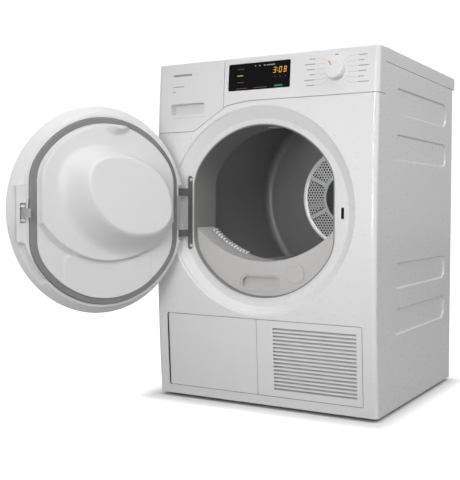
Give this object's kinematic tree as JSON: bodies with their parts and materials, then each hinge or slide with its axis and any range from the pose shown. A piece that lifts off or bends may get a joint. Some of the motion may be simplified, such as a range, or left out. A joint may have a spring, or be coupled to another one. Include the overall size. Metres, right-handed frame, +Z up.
{
  "type": "clothes dryer",
  "caption": "Front-loading heat-pump clothes dryer with a round side-hinged door, rotating drum, pull-out water container, lint filter and service flap.",
  "frame": {"origin": "on the floor, at the middle of the sole of the front left foot: 255 mm left of the middle of the cabinet and 85.5 mm behind the foremost line of the front", "axes": "+Z up, the front faces -Y, +X to the right seen from the front"},
  "size_m": [0.6865, 1.0534, 0.85],
  "materials": {
    "painted_white": "satin white paint on steel",
    "plastic_white": "white moulded plastic, satin",
    "plastic_grey": "warm light grey moulded plastic",
    "plastic_mid": "mid grey moulded plastic",
    "plastic_dark": "dark grey moulded plastic",
    "display_black": "gloss black window",
    "seal_rubber": "grey rubber",
    "felt": "grey felt",
    "stainless": "brushed stainless sheet",
    "bright_steel": "bright steel",
    "zinc_steel": "zinc-plated sheet",
    "aluminium": "bare aluminium fins",
    "copper": "copper tube",
    "black_paint": "black enamel",
    "circuit": "green board",
    "belt_rubber": "ribbed black belt",
    "lamp_lens": "frosted lens",
    "smoked": "smoked gloss cover"
  },
  "bodies": {
    "cabinet": {"left_side_panel": "painted_white", "right_side_panel": "painted_white", "front_panel": "painted_white", "fascia_panel": "plastic_white", "display_window": "display_black", "control_board": "circuit", "top_lid": "plastic_white", "rear_panel": "zinc_steel", "rear_duct_cover": "zinc_steel", "base_pan": "plastic_dark", "levelling_feet": "plastic_dark", "grille_panel": "plastic_white", "plinth_frame": "plastic_dark", "loading_tunnel": "plastic_mid", "opening_rim": "bright_steel", "interior_lamp": "lamp_lens", "panel_screws": "bright_steel", "front_shield": "zinc_steel", "felt_seal": "felt", "filter_housing": "plastic_grey", "door_lock": "plastic_dark", "hinge_bracket": "plastic_dark", "hinge_pin": "bright_steel", "container_guides": "plastic_dark", "bearing_carrier": "aluminium", "drum_bearing": "bright_steel", "drive_belt": "belt_rubber", "motor_housing": "black_paint", "fan_housing": "plastic_dark", "evaporator": "aluminium", "condenser": "aluminium", "heat_exchanger_cover": "plastic_dark", "compressor": "black_paint", "refrigerant_pipe": "copper", "condensate_pump": "plastic_dark", "drain_spigot": "plastic_dark", "cord_gland": "plastic_dark"},
    "door": {"door_ring": "plastic_white", "door_handle_insert": "plastic_grey", "door_seal": "seal_rubber", "door_inner_panel": "plastic_grey", "door_front_cover": "smoked", "door_hinge_arm": "plastic_grey"},
    "latch": {"latch_hook": "plastic_grey"},
    "knob": {"program_knob": "plastic_white"},
    "container": {"container_front": "plastic_white", "container_tank": "plastic_mid"},
    "flap": {"access_flap": "plastic_white"},
    "filter": {"lint_filter": "plastic_grey"},
    "cap": {"flacon_cap": "plastic_grey"},
    "drum": {"drum_shell": "stainless", "drum_air_disc": "bright_steel", "drum_hub_cover": "stainless", "drum_shaft": "bright_steel", "drum_lifters": "plastic_mid"},
    "motor": {"motor_shaft": "bright_steel", "process_fan": "plastic_dark"},
    "idler": {"idler_pulley": "plastic_dark"},
    "roller_left": {"support_roller_left": "plastic_dark"},
    "roller_right": {"support_roller_right": "plastic_dark"}
  },
  "joints": [
    {"name": "door_swing", "type": "hinge", "parent": "cabinet", "child": "door", "pos_m": [0.0277, -0.0883, 0.474], "axis": [0, 0, -1], "range_deg": [-109.5, 32]},
    {"name": "latch_turn", "type": "hinge", "parent": "door", "child": "latch", "pos_m": [-0.10374, -0.50142, 0.474], "axis": [0, 0, 1], "range_deg": [0, 6], "stiffness_Nm_per_rad": 0.05},
    {"name": "knob_turn", "type": "hinge", "parent": "cabinet", "child": "knob", "pos_m": [0.4495, -0.07188, 0.8], "axis": [0, -0.9971, 0.0756], "continuous": true},
    {"name": "container_slide", "type": "slide", "parent": "cabinet", "child": "container", "axis": [0, -1, 0], "range_m": [0, 0.055]},
    {"name": "flap_swing", "type": "hinge", "parent": "cabinet", "child": "flap", "pos_m": [-0.0048, -0.0681, 0.1245], "axis": [0, 0.0663, -0.9978], "range_deg": [0, 88]},
    {"name": "filter_slide", "type": "slide", "parent": "cabinet", "child": "filter", "axis": [0, -1, 0], "range_m": [0, 0.095]},
    {"name": "cap_turn", "type": "hinge", "parent": "cabinet", "child": "cap", "pos_m": [0.337, -0.05, 0.3285], "axis": [0, -1, 0], "range_deg": [0, 90]},
    {"name": "drum_turn", "type": "hinge", "parent": "cabinet", "child": "drum", "pos_m": [0.258, 0.265, 0.517], "axis": [0, -1, 0], "continuous": true},
    {"name": "motor_turn", "type": "hinge", "parent": "cabinet", "child": "motor", "pos_m": [0.405, 0.175, 0.12], "axis": [0, -1, 0], "continuous": true},
    {"name": "idler_turn", "type": "hinge", "parent": "cabinet", "child": "idler", "pos_m": [0.229, 0.295, 0.186], "axis": [0, -1, 0], "continuous": true},
    {"name": "roller_left_turn", "type": "hinge", "parent": "cabinet", "child": "roller_left", "pos_m": [0.06881, 0.065, 0.27484], "axis": [0, -1, 0], "continuous": true},
    {"name": "roller_right_turn", "type": "hinge", "parent": "cabinet", "child": "roller_right", "pos_m": [0.44719, 0.065, 0.27484], "axis": [0, -1, 0], "continuous": true}
  ],
  "couplings": [
    {"joint": "motor_turn", "follows": "drum_turn", "ratio": 35.125},
    {"joint": "idler_turn", "follows": "drum_turn", "ratio": -20.071},
    {"joint": "roller_left_turn", "follows": "drum_turn", "ratio": -10.808},
    {"joint": "roller_right_turn", "follows": "drum_turn", "ratio": -10.808}
  ]
}
